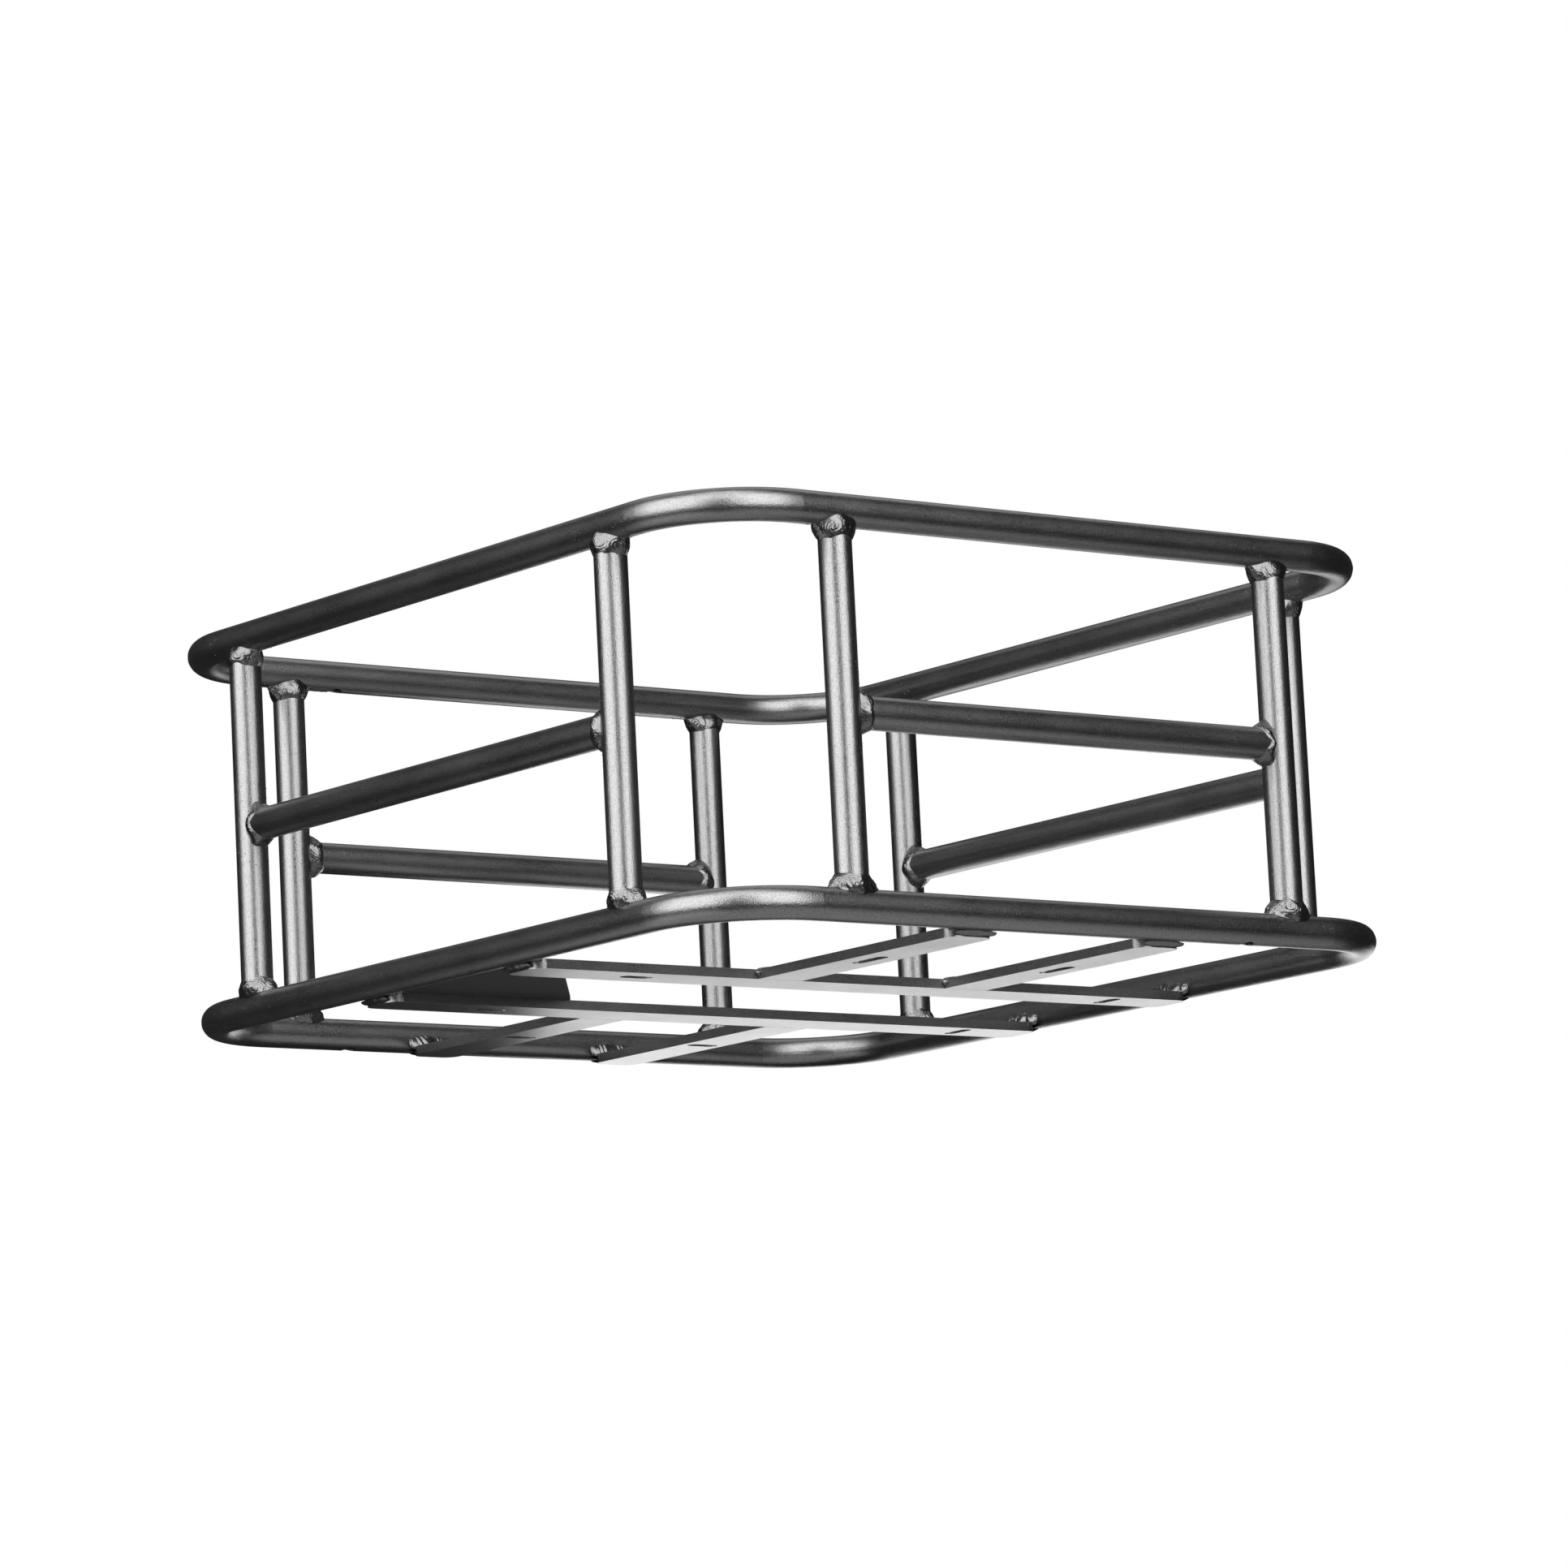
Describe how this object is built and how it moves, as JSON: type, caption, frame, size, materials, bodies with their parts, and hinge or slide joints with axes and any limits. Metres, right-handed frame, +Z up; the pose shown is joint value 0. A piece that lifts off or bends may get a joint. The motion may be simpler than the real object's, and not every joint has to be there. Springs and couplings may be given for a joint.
{
  "type": "luggage basket",
  "caption": "Open rectangular luggage basket of welded round tube, with slotted flat bars across its base for bolting to a carrier.",
  "frame": {"origin": "middle of the basket in plan, on the plane that the undersides of the base bars rest on", "axes": "+Z up; +X along the shorter sides; +Y along the longer sides, from the front short bars to the back ones"},
  "size_m": [0.4356, 0.4776, 0.2044],
  "materials": {
    "tube_coat": "satin black powder coat with a fine metallic grain",
    "bar_coat": "satin black powder coat on flat bar",
    "weld_coat": "satin black powder coat over lumpy weld beads",
    "plate_coat": "dull black coat"
  },
  "bodies": {
    "root": {"lower_ring": "tube_coat", "upper_ring": "tube_coat", "upright_front_left": "tube_coat", "upright_left_front": "tube_coat", "upright_front_right": "tube_coat", "upright_right_front": "tube_coat", "upright_back_left": "tube_coat", "upright_left_back": "tube_coat", "upright_back_right": "tube_coat", "upright_right_back": "tube_coat", "rail_front": "tube_coat", "rail_right": "tube_coat", "rail_back": "tube_coat", "rail_left": "tube_coat", "long_bar_front": "bar_coat", "long_bar_back": "bar_coat", "short_bar_front_left": "bar_coat", "short_bar_front_right": "bar_coat", "short_bar_back_left": "bar_coat", "short_bar_back_right": "bar_coat", "tie_plate": "plate_coat", "welds_lower_ring": "weld_coat", "welds_upper_ring": "weld_coat", "welds_rails": "weld_coat", "welds_bar_ends": "weld_coat", "welds_short_bars": "weld_coat", "welds_tie_plate": "weld_coat"}
  },
  "joints": []
}
